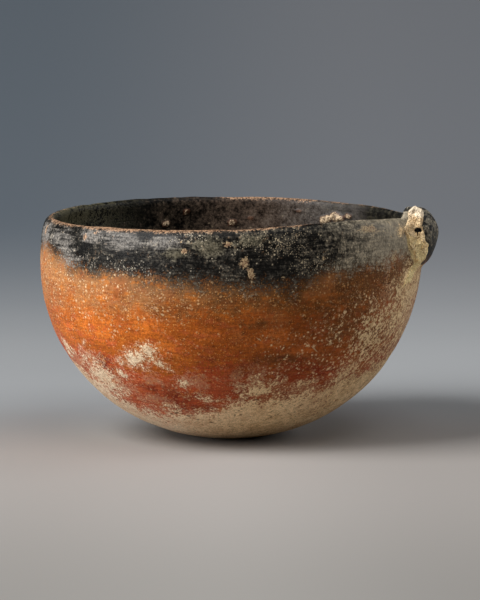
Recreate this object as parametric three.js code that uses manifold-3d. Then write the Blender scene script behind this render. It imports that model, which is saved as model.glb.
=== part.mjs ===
// A small hand-built pottery bowl: a round-bottomed wall, and a pierced lug luted to its rim.
// Millimetres, +Z up. The origin is the centre of the small flat that the bowl rests on,
// and the lug stands on the +X side.
import * as THREE from 'three';
import { mergeVertices } from 'three/addons/utils/BufferGeometryUtils.js';
import Module from 'manifold-3d';

const manifold = await Module();
manifold.setup();

// Wall: two round surfaces, one inside the other. Below its middle the bowl is a little fuller
// than a ball: a power of 2 would make it exactly round.
const bowlRadius = 72.4;
const bowlFullness = 2.1;
const footRadius = 12;
const rimHeight = 84.4;
const wallThickness = 5;
const baseThickness = 6;

// Lip: how far it rolls in to its crest, and where the roll starts below the rim
const lipRoll = 2.5;
const lipShoulder = 7.5;
const lipInnerShoulder = 3.5;

// Lug: a flat ear that stands on the rim, measured from the crest of the lip
const lugWidth = 17.6;
const lugReach = 10.1;
const lugOverhang = 1;
const lugCrown = 0.5;
const lugRise = 4;
const lugDrop = 19.3;
const lugBellyDrop = 5.2;
const lugEdgeRadius = 3;

// String hole through the lug, and the smaller eye that the crust leaves of it
const boreDiameter = 3.6;
const boreReach = 5.9;
const boreDrop = 4.2;
const eyeWidth = 3;
const eyeHeight = 1.9;

// Luting: the clay smeared round the root of the lug, as a hollow fillet
const lutingWidth = 4.4;
const lutingHeight = 3;

// Crust: the lime cake on one face of the lug
const crustThickness = 0.9;
const crustReachAround = 2.6;

// Clearance between two pieces that touch
const seatGap = 0.3;

// Shaping by hand: the rim leans towards the lug, and rises and dips round the mouth
const rimLean = 1.8;
const rimWaves = [
  { order: 1, height: 0.25, crestDegrees: 40 },
  { order: 2, height: 1.15, crestDegrees: -49 },
  { order: 3, height: 0.4, crestDegrees: -26 },
  { order: 4, height: 0.25, crestDegrees: -24 },
];

// Fineness of the round surfaces
const meridians = 64;
const outerSteps = 18;
const innerSteps = 16;
const lipSteps = 4;
const lugSides = 40;
const lugEdgeSteps = 4;
const boreSides = 20;
const lutingSteps = 4;

// Places that follow from the sizes
const footAngle = -Math.acos((footRadius / bowlRadius) ** (bowlFullness / 2));
const centreHeight = bowlRadius * Math.sin(-footAngle) ** (2 / bowlFullness);
const innerRadius = bowlRadius - wallThickness;
const innerCentreHeight = innerRadius + baseThickness;
const innerRimRadius = Math.sqrt(innerRadius ** 2 - (rimHeight - innerCentreHeight) ** 2);
const outerRimRadius = Math.sqrt(bowlRadius ** 2 - (rimHeight - centreHeight) ** 2);
const rollLimit = 0.8 * (outerRimRadius - innerRimRadius);
const crestRadius = outerRimRadius - Math.min(lipRoll, rollLimit);
const quarterTurn = Math.PI / 2;

// Outline points

// A round surface from one angle to another, seen from its centre: fuller than a circle below it
function roundWall(radius, centre, from, to, steps) {
  const points = [];
  for (let step = 0; step <= steps; step += 1) {
    const angle = from + (to - from) * step / steps;
    const power = angle < 0 ? 2 / bowlFullness : 1;
    const out = Math.max(0, Math.cos(angle)) ** power;
    const up = Math.sign(angle) * Math.abs(Math.sin(angle)) ** power;
    points.push(new THREE.Vector2(radius * out, centre + radius * up));
  }
  return points;
}

// The end of a round surface runs on along its tangent, and bends over to the crest of the lip
function lipCurve(radius, centre, angle, grow) {
  const start = new THREE.Vector2(radius * Math.cos(angle), centre + radius * Math.sin(angle));
  const crest = new THREE.Vector2(crestRadius, rimHeight + grow);
  const run = (crest.y - start.y) / Math.cos(angle);
  const corner = new THREE.Vector2(start.x - run * Math.sin(angle), crest.y);
  return new THREE.QuadraticBezierCurve(start, corner, crest).getPoints(lipSteps);
}

function outerOutline(grow) {
  const radius = bowlRadius + grow;
  const lipAngle = Math.asin((rimHeight - lipShoulder - centreHeight) / bowlRadius);
  const wall = roundWall(radius, centreHeight, footAngle, lipAngle, outerSteps);
  const lip = lipCurve(radius, centreHeight, lipAngle, grow);
  return [new THREE.Vector2(0, wall[0].y), ...wall, ...lip.slice(1)];
}

function innerOutline() {
  const lipAngle = Math.asin((rimHeight - lipInnerShoulder - innerCentreHeight) / innerRadius);
  const lip = lipCurve(innerRadius, innerCentreHeight, lipAngle, 0).reverse();
  const wall = roundWall(innerRadius, innerCentreHeight, lipAngle, -quarterTurn, innerSteps);
  return [...lip.slice(1), ...wall.slice(1)];
}

// Solids

function asSolid(geometry) {
  const bare = geometry.clone();
  bare.deleteAttribute('normal');
  bare.deleteAttribute('uv');
  const merged = mergeVertices(bare);
  const corners = merged.index.array;
  const kept = [];
  for (let i = 0; i < corners.length; i += 3) {
    const [a, b, c] = [corners[i], corners[i + 1], corners[i + 2]];
    if (a !== b && b !== c && c !== a) kept.push(a, b, c);
  }
  return new manifold.Manifold(new manifold.Mesh({
    numProp: 3,
    vertProperties: new Float32Array(merged.attributes.position.array),
    triVerts: new Uint32Array(kept),
  }));
}

function turned(outline) {
  const geometry = new THREE.LatheGeometry(outline, meridians);
  geometry.rotateX(quarterTurn);
  return asSolid(geometry);
}

// The bowl as if it were full to the rim, grown all round: it cuts the seats of what lies on the wall
function fullBowl(grow) {
  return turned([...outerOutline(grow), new THREE.Vector2(0, rimHeight + grow)]);
}

// The lug before it is seated, grown all round: a thick disc with round edges, turned about the
// tangent of the rim, and then drawn out to its own reach outward, inward, up and down
function lugForm(grow) {
  const outward = lugReach - lugCrown + grow;
  const inward = lugOverhang + lugCrown + grow;
  const upper = lugRise + lugBellyDrop + grow;
  const lower = lugDrop - lugBellyDrop + grow;
  const half = lugWidth / 2 + grow;
  const edge = lugEdgeRadius + grow;
  const rounding = edge / outward;
  const near = new THREE.EllipseCurve(1 - rounding, edge - half, rounding, edge, -quarterTurn, 0);
  const far = new THREE.EllipseCurve(1 - rounding, half - edge, rounding, edge, 0, quarterTurn);
  const outline = [
    new THREE.Vector2(0, -half),
    ...near.getPoints(lugEdgeSteps),
    ...far.getPoints(lugEdgeSteps),
    new THREE.Vector2(0, half),
  ];
  const geometry = new THREE.LatheGeometry(outline, lugSides);
  const places = geometry.attributes.position;
  for (let i = 0; i < places.count; i += 1) {
    const [x, y, z] = [places.getX(i), places.getY(i), places.getZ(i)];
    places.setXYZ(i, x * (x > 0 ? outward : inward), y, z * (z > 0 ? upper : lower));
  }
  geometry.translate(crestRadius + lugCrown, 0, rimHeight - lugBellyDrop);
  return asSolid(geometry);
}

// A straight hole along the tangent of the rim, longer than the lug and its luting
function hole(width, height) {
  const length = lugWidth + 4 * (lutingWidth + crustThickness);
  const geometry = new THREE.CylinderGeometry(0.5, 0.5, length, boreSides);
  geometry.scale(width, 1, height);
  geometry.translate(crestRadius + boreReach, 0, rimHeight - boreDrop);
  return asSolid(geometry);
}

function bowlBody() {
  return turned([...outerOutline(0), ...innerOutline()]);
}

function rimLug() {
  return lugForm(0).subtract(fullBowl(seatGap)).subtract(hole(boreDiameter, boreDiameter));
}

// The luting before it is seated, grown all round: a hollow fillet in steps, each narrower round
// the lug and higher on the wall than the last, which ends at the crest of the lip
function lutingForm(grow) {
  const inside = new THREE.CylinderGeometry(
    crestRadius - grow, crestRadius - grow, 4 * rimHeight, meridians,
  );
  inside.rotateX(quarterTurn);
  let form = null;
  for (let step = 0; step < lutingSteps; step += 1) {
    const angle = (step + 0.5) / lutingSteps * quarterTurn;
    const width = lutingWidth * (1 - Math.sin(angle)) + grow + seatGap;
    const height = lutingHeight * (1 - Math.cos(angle)) + grow + seatGap;
    const layer = lugForm(width).intersect(fullBowl(height));
    form = form ? form.add(layer) : layer;
  }
  return form.subtract(asSolid(inside));
}

function lugLuting() {
  return lutingForm(0)
    .subtract(fullBowl(seatGap))
    .subtract(lugForm(seatGap))
    .subtract(hole(boreDiameter, boreDiameter));
}

function limeCrust() {
  const side = new THREE.BoxGeometry(2 * bowlRadius, lugWidth, 2 * rimHeight);
  side.translate(bowlRadius, crustReachAround - lugWidth, rimHeight);
  return lugForm(seatGap + crustThickness)
    .add(lutingForm(seatGap + crustThickness))
    .intersect(asSolid(side))
    .subtract(fullBowl(seatGap))
    .subtract(lugForm(seatGap))
    .subtract(lutingForm(seatGap))
    .subtract(hole(eyeWidth, eyeHeight));
}

// Every piece bends the same way, so the seats still fit after it
function shapedByHand(geometry) {
  const places = geometry.attributes.position;
  for (let i = 0; i < places.count; i += 1) {
    const [x, y, z] = [places.getX(i), places.getY(i), places.getZ(i)];
    const share = Math.max(0, z / rimHeight);
    const around = Math.atan2(y, x);
    let rise = 0;
    for (const { order, height, crestDegrees } of rimWaves) {
      rise += height * Math.cos(order * (around - THREE.MathUtils.degToRad(crestDegrees)));
    }
    places.setXYZ(i, x + rimLean * share ** 2, y, z + rise * share ** 4);
  }
}

function asMesh(name, solid, look) {
  const { vertProperties, triVerts } = solid.getMesh();
  const geometry = new THREE.BufferGeometry();
  geometry.setAttribute('position', new THREE.BufferAttribute(vertProperties, 3));
  geometry.setIndex(new THREE.BufferAttribute(triVerts, 1));
  shapedByHand(geometry);
  geometry.computeVertexNormals();
  const mesh = new THREE.Mesh(geometry, new THREE.MeshStandardMaterial(look));
  mesh.name = name;
  return mesh;
}

const bowl = new THREE.Group();
bowl.add(asMesh('bowl_body', bowlBody(), { color: 0x9c4f26, roughness: 0.45, metalness: 0 }));
bowl.add(asMesh('rim_lug', rimLug(), { color: 0x3b3a36, roughness: 0.6, metalness: 0 }));
bowl.add(asMesh('lug_luting', lugLuting(), { color: 0x5c5446, roughness: 0.7, metalness: 0 }));
bowl.add(asMesh('lime_crust', limeCrust(), { color: 0xcdb58d, roughness: 0.95, metalness: 0 }));

export default bowl;
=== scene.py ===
from functools import partialmethod
from math import acos, asin, cos, pi, radians, sin, sqrt

import bpy
import numpy as np
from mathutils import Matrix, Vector


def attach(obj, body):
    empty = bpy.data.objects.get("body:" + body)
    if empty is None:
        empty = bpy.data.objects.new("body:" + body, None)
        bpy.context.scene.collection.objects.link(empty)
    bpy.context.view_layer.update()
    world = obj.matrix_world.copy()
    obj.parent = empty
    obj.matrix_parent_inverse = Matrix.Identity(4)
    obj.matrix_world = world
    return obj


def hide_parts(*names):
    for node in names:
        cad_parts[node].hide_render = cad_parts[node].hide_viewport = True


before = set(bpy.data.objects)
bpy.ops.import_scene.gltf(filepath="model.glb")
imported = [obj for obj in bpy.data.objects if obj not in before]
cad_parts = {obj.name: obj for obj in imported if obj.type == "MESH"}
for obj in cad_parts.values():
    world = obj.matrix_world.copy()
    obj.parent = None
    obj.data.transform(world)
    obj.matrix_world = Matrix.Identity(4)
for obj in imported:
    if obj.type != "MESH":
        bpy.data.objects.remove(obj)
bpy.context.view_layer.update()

# A small hand-built pottery bowl, burnished and smoke-blackened at the rim, with a pierced lug.
# Shapes are worked out in millimetres in the frame's own axes, and become metres in the meshes.
MM = 0.001
UP = Vector((0, 0, 1))

# Wall: two round surfaces, a little fuller than a ball below the middle
BOWL_RADIUS = 72.4
FULLNESS = 2.1
FOOT_RADIUS = 12
RIM_HEIGHT = 84.4
WALL = 5.0
BASE = 6
LIP_ROLL = 2.5
LIP_SHOULDER = 7.5
LIP_INNER_SHOULDER = 3.5

# Shaping by hand: the rim leans towards the lug, and rises and dips round the mouth
LEAN = 1.8
RIM_WAVES = ((1, 0.25, 40), (2, 1.15, -49), (3, 0.4, -26), (4, 0.25, -24))

# Lug, measured from the crest of the lip
LUG_WIDTH = 17.6
LUG_REACH = 10.1
LUG_OVERHANG = 1
LUG_CROWN = 0.5
LUG_RISE = 4
LUG_DROP = 19.3
LUG_BELLY_DROP = 5.2
LUG_EDGE = 3.4
BORE_RADIUS = 1.8
BORE_REACH = 5.9
BORE_DROP = 4.2

# Places that follow from the sizes
FOOT_ANGLE = -acos((FOOT_RADIUS / BOWL_RADIUS) ** (FULLNESS / 2))
CENTRE = BOWL_RADIUS * sin(-FOOT_ANGLE) ** (2 / FULLNESS)
INNER_RADIUS = BOWL_RADIUS - WALL
INNER_CENTRE = INNER_RADIUS + BASE
CREST_RADIUS = sqrt(BOWL_RADIUS ** 2 - (RIM_HEIGHT - CENTRE) ** 2) - LIP_ROLL


# Smooth random values

class Noise:
    """Smooth random values in space, between about -1 and 1, the same on every run."""

    CELLS = 32

    def __init__(self, seed):
        self.values = np.random.default_rng(seed).uniform(-1, 1, (self.CELLS,) * 3)

    def at(self, points, size):
        low, high, share = [], [], []
        for k in range(3):
            place = points[..., k] / size
            cell = np.floor(place)
            part = place - cell
            share.append(part * part * (3 - 2 * part))
            low.append(cell.astype(int) % self.CELLS)
            high.append((low[k] + 1) % self.CELLS)
        total = 0
        for i, u in ((low[0], 1 - share[0]), (high[0], share[0])):
            for j, v in ((low[1], 1 - share[1]), (high[1], share[1])):
                near = self.values[i, j, low[2]]
                far = self.values[i, j, high[2]]
                total = total + u * v * (near + (far - near) * share[2])
        return total

    def waves(self, points, height, size, octaves=1):
        """Waves of a height and a size, with finer ones on them for each further octave."""
        total, share = 0, 1
        for octave in range(octaves):
            total = total + share * self.at(points + 7.3 * octave, size / 2 ** octave)
            share /= 2
        return height * total


undulation = Noise(11)
fine_relief = Noise(12)
edge_noise = Noise(13)
paint_noise = Noise(14)
lug_noise = Noise(21)
crust_noise = Noise(22)


def ramp(values, low, high):
    """0 up to low and 1 from high on, with a soft step between them."""
    share = np.clip((values - low) / (high - low), 0, 1)
    return share * share * (3 - 2 * share)


def azimuth(points):
    return np.arctan2(points[..., 1], points[..., 0])


# Outline of the wall

LIP_POINTS = 24
WALL_POINTS = 400


def round_wall(radius, centre, start, end):
    angles = np.linspace(start, end, WALL_POINTS)
    power = np.where(angles < 0, 2 / FULLNESS, 1)
    out = np.clip(np.cos(angles), 0, None) ** power
    up = np.sign(angles) * np.abs(np.sin(angles)) ** power
    return np.stack([radius * out, centre + radius * up], 1)


def lip_curve(radius, centre, angle):
    start = np.array([radius * cos(angle), centre + radius * sin(angle)])
    crest = np.array([CREST_RADIUS, RIM_HEIGHT])
    run = (crest[1] - start[1]) / cos(angle)
    corner = np.array([start[0] - run * sin(angle), crest[1]])
    t = np.linspace(0, 1, LIP_POINTS)[:, None]
    return (1 - t) ** 2 * start + 2 * t * (1 - t) * corner + t * t * crest


def wall_outline():
    """Points from the middle of the foot, over the lip, to the middle of the inside, and the
    crest's place among them."""
    outer_lip = asin((RIM_HEIGHT - LIP_SHOULDER - CENTRE) / BOWL_RADIUS)
    inner_lip = asin((RIM_HEIGHT - LIP_INNER_SHOULDER - INNER_CENTRE) / INNER_RADIUS)
    outer = round_wall(BOWL_RADIUS, CENTRE, FOOT_ANGLE, outer_lip)
    inner = round_wall(INNER_RADIUS, INNER_CENTRE, inner_lip, -pi / 2)
    up = np.concatenate([[[0, 0]], outer, lip_curve(BOWL_RADIUS, CENTRE, outer_lip)[1:]])
    down = np.concatenate([lip_curve(INNER_RADIUS, INNER_CENTRE, inner_lip)[::-1][1:], inner[1:]])
    return np.concatenate([up, down]), len(up) - 1


def shaped_by_hand(points):
    points = np.array(points, float)
    share = np.clip(points[..., 2] / RIM_HEIGHT, 0, None)
    around = azimuth(points)
    rise = sum(h * np.cos(order * (around - radians(crest))) for order, h, crest in RIM_WAVES)
    points[..., 0] += LEAN * share ** 2
    points[..., 2] += rise * share ** 4
    return points


# Places on the wall are given as degrees round the bowl, from the lug, and height.
# A patch is (degrees, height, half its width, half its height, tilt in degrees).

def patch_distance(points, degrees, height, half_width, half_height, tilt=0):
    """How far points lie from a patch's centre on the wall, in shares of its size."""
    around = azimuth(points) - radians(degrees)
    around = (around + pi) % (2 * pi) - pi
    across = around * np.hypot(points[..., 0], points[..., 1])
    up = points[..., 2] - height
    cosine, sine = cos(radians(tilt)), sin(radians(tilt))
    return np.hypot((across * cosine + up * sine) / half_width, (up * cosine - across * sine) / half_height)


def patch_share(points, patch, ragged, full, none):
    """1 up to a share of a patch's size, fading to 0 at another, with a ragged edge."""
    return 1 - ramp(patch_distance(points, *patch) + ragged, full, none)


def height_round(points, places):
    """A height at each azimuth, from a list of (degrees, height) that closes on itself."""
    degrees, heights = zip(*places)
    around = np.degrees(azimuth(points))
    return np.interp(around, degrees, heights, period=360)


# Relief of the wall

# Lumps of lime left on the inside, each a patch and how far it stands out
INNER_LUMPS = (
    (69.2, 78, 4, 2.5, 1.5), (73.5, 76.8, 3, 2.2, 1.2), (64.6, 79.2, 2.4, 1.6, 0.9),
    (107, 74.6, 2.6, 1.5, 0.9), (123, 78.8, 1.7, 1.5, 0.9), (130, 74.2, 1.9, 1.5, 0.9),
    (84, 79.8, 1.6, 1, 0.7), (101, 76.2, 1.3, 0.9, 0.5), (40, 70, 4, 2.6, 0.6), (150, 60, 3.2, 2.4, 0.6),
    (15, 62, 2.6, 2, 0.5), (-120, 58, 3.4, 2.2, 0.6),
)

# Pits in the outside, each a patch and its depth
PITS = (
    (-82.7, 10.1, 1.4, 0.55, 0.55), (-67.5, 19.5, 0.9, 0.6, 0.4), (-98, 16.2, 0.7, 0.5, 0.3),
    (-30, 52, 0.6, 0.5, 0.3), (-118, 47, 0.6, 0.6, 0.3), (55, 33, 1, 0.6, 0.4), (120, 41, 0.8, 0.6, 0.4),
    (178, 58, 0.9, 0.5, 0.35), (-75, 57, 0.5, 0.4, 0.25),
)

# Waves, ripples and ragged edges, each a height, a size and how many octaves it has
HAND_WAVES = (0.34, 24)
TOOL_WAVES = (0.13, 9)
CLAY_GRAIN = (0.05, 3.2, 2)
LUMP_EDGE = (0.35, 1.7, 2)
PIT_EDGE = (0.15, 1.7, 2)
LIP_WAVES = (0.2, 11)
LIP_RIPPLES = (0.1, 3.5)
LIP_NICKS = (1, 2.6, 2)

# Depth of a nick, and the ranges over which the worn lip and the flat foot fade
NICK_DEPTH = 0.5
LIP_HALF_WIDTH = (0.8, 3.4)
ABOVE_FOOT = (0.05, 4)


def wall_relief(points, inside=False):
    """How far the real surface stands out from the true outline, along the outline's normal."""
    relief = undulation.waves(points, *HAND_WAVES) + undulation.waves(points, *TOOL_WAVES)
    relief = relief + fine_relief.waves(points, *CLAY_GRAIN)
    return relief * np.where(inside, 1, ramp(points[..., 2], *ABOVE_FOOT))


def lump_share(points):
    """1 on the lumps of the inside, 0 between them."""
    ragged = fine_relief.waves(points, *LUMP_EDGE)
    share = np.zeros(points.shape[:-1])
    for *patch, stand in INNER_LUMPS:
        share = np.maximum(share, stand * patch_share(points, patch, ragged, 0.35, 1.05))
    return share


def pit_depth(points):
    ragged = fine_relief.waves(points, *PIT_EDGE)
    return sum(depth * patch_share(points, patch, ragged, 0.3, 1.0) for *patch, depth in PITS)


def lip_wear(points, from_crest):
    """Nicks and worn stretches along the lip, as depths below the true surface."""
    on_lip = 1 - ramp(np.abs(from_crest), *LIP_HALF_WIDTH)
    waver = edge_noise.waves(points, *LIP_WAVES) + edge_noise.waves(points, *LIP_RIPPLES)
    nicks = NICK_DEPTH * ramp(edge_noise.waves(points + 50, *LIP_NICKS), 0.55, 1.0)
    return on_lip * (waver - nicks)


# Zones of colour on the wall, as fields that ride on the mesh points.
# Edges that run round the bowl, as (degrees, height):
BAND_EDGE = (
    (-180, 71), (-150, 73.5), (-140, 72.5), (-130, 69.5), (-118, 67.5), (-105, 67), (-95, 65.5), (-80, 65),
    (-68, 64), (-55, 63.5), (-45, 66), (-35, 68), (-25, 70), (-12, 71), (20, 72), (60, 70), (100, 66),
    (140, 69),
)
RED_EDGE = (
    (-180, 41), (-150, 41), (-140, 38), (-130, 38), (-120, 38), (-110, 34), (-100, 31), (-90, 32),
    (-82, 35), (-70, 35), (-60, 33), (-50, 34), (-35, 35), (-20, 36), (0, 37), (60, 33), (120, 39),
)
LIME_EDGE = (
    (-180, 31), (-150, 31), (-140, 26), (-130, 19), (-124, 16), (-118, 13), (-95, 13), (-82, 14.5),
    (-74, 18), (-64, 20), (-52, 21), (-44, 22.5), (-34, 25), (-26, 27), (-8, 27), (8, 31), (18, 25),
    (29, 29), (41, 22), (54, 27), (67, 18), (84, 23), (100, 16), (118, 22), (134, 19), (151, 28), (166, 25),
)

# Cream lime above its edge, each a strength and a patch: 1 covers it, less only speckles it
LIME_PATCHES = (
    (0.9, -142, 36.6, 4.6, 1.8, -14), (0.6, -146, 33, 3.5, 2.2), (0.95, -126.5, 26.5, 7, 6, -30),
    (0.7, -135, 22, 6, 3.5, -20), (0.8, -99.5, 39.8, 3.6, 3, 20), (0.75, -105.5, 36, 5.2, 3.4, 10),
    (0.6, -96, 34.5, 5, 1.8, -35), (0.4, -114, 29, 4.5, 3), (0.45, -111, 34, 5, 2),
    (0.5, -80.5, 20.8, 5.5, 2.2, -15), (0.3, -90, 27, 4, 2.6), (0.65, -61, 25, 8, 5, 8),
    (0.45, -44, 26.6, 8, 1.6), (0.45, -127, 40, 2.4, 1.6), (0.4, -28, 28, 7, 5, 25),
    (0.7, -11, 61, 7, 5, 10), (0.4, -8, 50, 9, 8), (0.9, -13, 80, 2.6, 1.5), (1.3, -2, 61, 8, 6),
    (0.5, -2, 46, 4, 7), (0.9, 100, 31, 9, 6, 10), (0.7, 150, 36, 8, 5, -15), (0.6, 66, 40, 6, 4),
    (0.5, 30, 48, 7, 7),
)
# How thickly the side towards the lug is flecked with lime, each a share and a patch
FLECK_PATCHES = (
    (1, -24, 42, 10, 9), (0.45, -40, 33, 14, 8), (0.4, -52, 40, 16, 12), (0.5, -38, 47, 16, 12),
    (0.4, -30, 58, 16, 9), (0.4, 80, 40, 22, 12),
)
# Soft patches: pinkish haze, deep red, bright orange and dark brown on the slip, silvery and olive
# stretches of the smoke-black band (the silvery ones partly grey, partly a painted sheen), and pale dust
# caught in the burnish
SOFT_PATCHES = {
    "haze": (
        (-117, 24, 8, 6), (-106, 20, 9, 4), (-87, 27, 10, 6), (-139, 31, 12, 6), (-100, 28, 7, 4),
        (-71, 30, 8, 4), (-79, 21, 8, 4), (-62, 27, 11, 9), (-127, 36, 7, 5), (-42, 24, 10, 5),
        (-16, 56, 12, 7), (-8, 44, 10, 8), (50, 25, 16, 7), (120, 28, 14, 8), (170, 30, 16, 8),
    ),
    "deep": (
        (-92, 21.5, 10, 4), (-102, 24, 6, 3.5), (-68, 24, 5, 4.5), (-41, 31, 12, 3), (-52, 23.5, 6, 2.6),
        (-119, 33, 6, 4), (-58, 31, 7, 2.4), (-86, 17, 12, 2.5), (80, 24, 14, 5), (140, 30, 10, 5),
    ),
    "bright": (
        (-117, 46, 14, 7), (-100, 48, 9, 5), (-79, 46.6, 8, 4.2), (-60, 44, 14, 5), (-95, 41, 9, 4),
        (-134, 44, 8, 6), (-50, 40, 10, 4), (90, 45, 20, 7), (150, 48, 18, 8),
    ),
    "dark": (
        (-42, 60, 22, 7), (-70, 59, 14, 4), (-33, 49, 16, 9), (-20, 42, 14, 10), (-10, 36, 12, 6),
        (-55, 36.5, 16, 3), (-89, 56, 8, 3), (-20, 60, 14, 6), (-108, 60, 6, 3), (-66, 50, 7, 3),
        (30, 55, 24, 10), (128, 50, 15, 9),
    ),
    "grey_and_sheen": (
        (-131, 77, 8, 6), (-152, 80, 6, 6), (-106, 80, 12, 4.6), (-93, 80, 8, 2.6), (-147, 77, 6, 9),
        (-129, 71, 9, 3.2), (-137, 79, 7, 4), (-118, 81, 7, 3.4), (70, 78, 16, 4), (130, 76, 14, 5),
        (175, 80, 16, 4),
    ),
    "olive": (
        (-79, 79, 9, 4), (-89, 76, 5, 2.5), (-68, 80, 7, 3), (105, 80, 12, 4), (150, 75, 12, 5),
    ),
    "dust": (
        (-143, 78, 12, 8), (-128, 72, 10, 5), (-105, 70, 16, 4), (-60, 79, 18, 6), (-30, 74, 20, 8),
        (-85, 82, 8, 3), (-45, 70, 14, 5), (60, 76, 20, 8), (120, 74, 20, 8), (170, 77, 16, 7),
    ),
}
# Tan chips and stains in the band
CHIP_PATCHES = (
    (-69.3, 72.6, 1.9, 2.1), (-67.4, 68.4, 1.3, 2.7, 12), (-28.5, 81.6, 5, 1.5, -6),
    (-121.5, 80.8, 1.1, 1.6, 20), (-117.5, 82.4, 1.2, 0.7), (-86.5, 77, 1.2, 1), (-74.5, 79.3, 1.6, 1.2),
    (-17.5, 71, 2.2, 2.6, 40), (-149, 80, 1.6, 2.4), (-113, 65.2, 1.4, 0.7), (-58, 66.5, 1.2, 0.8),
    (-45.5, 73, 0.9, 1), (60, 74, 2, 1.4), (140, 72, 1.6, 2),
)
# How far the lip is worn down to pale clay round the bowl
WORN_ROUND = (
    (-180, 0), (-155, 0.5), (-140, 0.9), (-125, 0.7), (-110, 1), (-90, 0.8), (-75, 0.8), (-60, 0.5),
    (-45, 0.1), (-25, 0.1), (-10, -0.2), (20, -0.4), (50, 0), (66, 0.3), (78, 0.6), (90, 0.8), (108, 0.7),
    (118, -0.2), (150, -0.3),
)
# How far the clay turns from orange to dull brown round the bowl, most towards the lug: partly the clay's
# own colour and partly painted shade on the side away from the key lamp
UMBER_AND_SHADE_ROUND = (
    (-180, 0.15), (-150, 0.1), (-112, 0.05), (-92, 0.45), (-72, 0.75), (-52, 1), (-18, 1), (20, 0.7),
    (90, 0.35), (140, 0.2),
)


def closeness(points, patches):
    """1 in the middle of the nearest of some patches, 0 at its edge, and down to -1 outside."""
    near = np.full(points.shape[:-1], -1.0)
    for patch in patches:
        near = np.maximum(near, 1 - patch_distance(points, *patch))
    return near


# The side towards the lug: degrees over which its flecks, its ashy grey and its thinner lime begin
# and end, and the heights between which the flecks lie
FLECKS_BEGIN, FLECKS_END = (-42, -24), (10, 50)
ASHY_BEGIN, ASHY_END = (-58, -14), (10, 60)
THIN_LIME_BEGIN, THIN_LIME = (-58, -34), 0.95
FLECKS_FROM = (14, 26)
FLECKS_TOP, FLECKS_FADE = 46, 16
FLECKS_TOP_BY_LUG, BY_LUG = 60, (-24, -8)
FLECK_SHARE = 0.9
LIME_LIMIT = 1.5
LIME_EDGE_WIDTH = 4


def painted_zones(points):
    """The fields of colour at points on the wall. Edges are in millimetres, and shares up to 1."""
    z = points[..., 2]
    waver = paint_noise.waves(points, 1, 17, 3)
    wisps = paint_noise.waves(points + 60, 1, 6, 2)
    lime = (height_round(points, LIME_EDGE) - z + 1.6 * waver) / LIME_EDGE_WIDTH
    for strength, *patch in LIME_PATCHES:
        lime = np.maximum(lime, strength - patch_distance(points, *patch))
    degrees = np.degrees(azimuth(points))
    lime_limit = LIME_LIMIT - THIN_LIME * ramp(degrees, *THIN_LIME_BEGIN)
    top = FLECKS_TOP + (FLECKS_TOP_BY_LUG - FLECKS_TOP) * ramp(degrees, *BY_LUG)
    flecks = ramp(degrees, *FLECKS_BEGIN) * (1 - ramp(degrees, *FLECKS_END))
    below_top = 1 - ramp(z + 2 * waver, top, top + FLECKS_FADE)
    flecks = FLECK_SHARE * flecks * ramp(z, *FLECKS_FROM) * below_top
    for strength, *patch in FLECK_PATCHES:
        near = patch_share(points, patch, 0.15 * wisps, 0.35, 1.25)
        flecks = np.maximum(flecks, strength * near)
    zones = {label: closeness(points, patches) + 0.3 * wisps for label, patches in SOFT_PATCHES.items()}
    zones["olive"] -= 0.05 * wisps
    return {
        **zones,
        "smoke": z - height_round(points, BAND_EDGE) + 1.4 * waver,
        "red": height_round(points, RED_EDGE) - z + 1.8 * waver,
        "lime": np.clip(lime + 0.12 * wisps, -LIME_LIMIT, lime_limit),
        "flecks": flecks,
        "ashy": ramp(degrees, *ASHY_BEGIN) * (1 - ramp(degrees, *ASHY_END)),
        "chips": closeness(points, CHIP_PATCHES),
        "umber_and_shade": height_round(points, UMBER_AND_SHADE_ROUND) + 0.15 * waver,
        "worn": height_round(points, WORN_ROUND) + 0.2 * wisps,
    }


# Meshes

def add_object(name, data):
    item = bpy.data.objects.new(name, data)
    bpy.context.scene.collection.objects.link(item)
    return item


def mesh_object(name, points, faces, fields):
    mesh = bpy.data.meshes.new(name)
    mesh.from_pydata((np.asarray(points) * MM).tolist(), [], faces)
    mesh.validate()
    mesh.shade_smooth()
    for label, values in fields.items():
        layer = mesh.attributes.new(label, "FLOAT", "POINT")
        layer.data.foreach_set("value", np.asarray(values, np.float32).ravel())
    return add_object(name, mesh)


MERIDIANS = 344
COARSE_STEP = 1.05
FINE_STEP = 0.38
FINE_REACH = 7
LAST_STEP = 0.6
FILM_THICKNESS = 0.12


def ring_places(length, crest_at):
    """Places of the rings along the outline, closer together near the lip."""
    places, at = [], 0.0
    while at < length:
        places.append(at)
        near = ramp(abs(at - crest_at), FINE_REACH, 2 * FINE_REACH)
        at += FINE_STEP + (COARSE_STEP - FINE_STEP) * near
    return np.array(places[1:])


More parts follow.
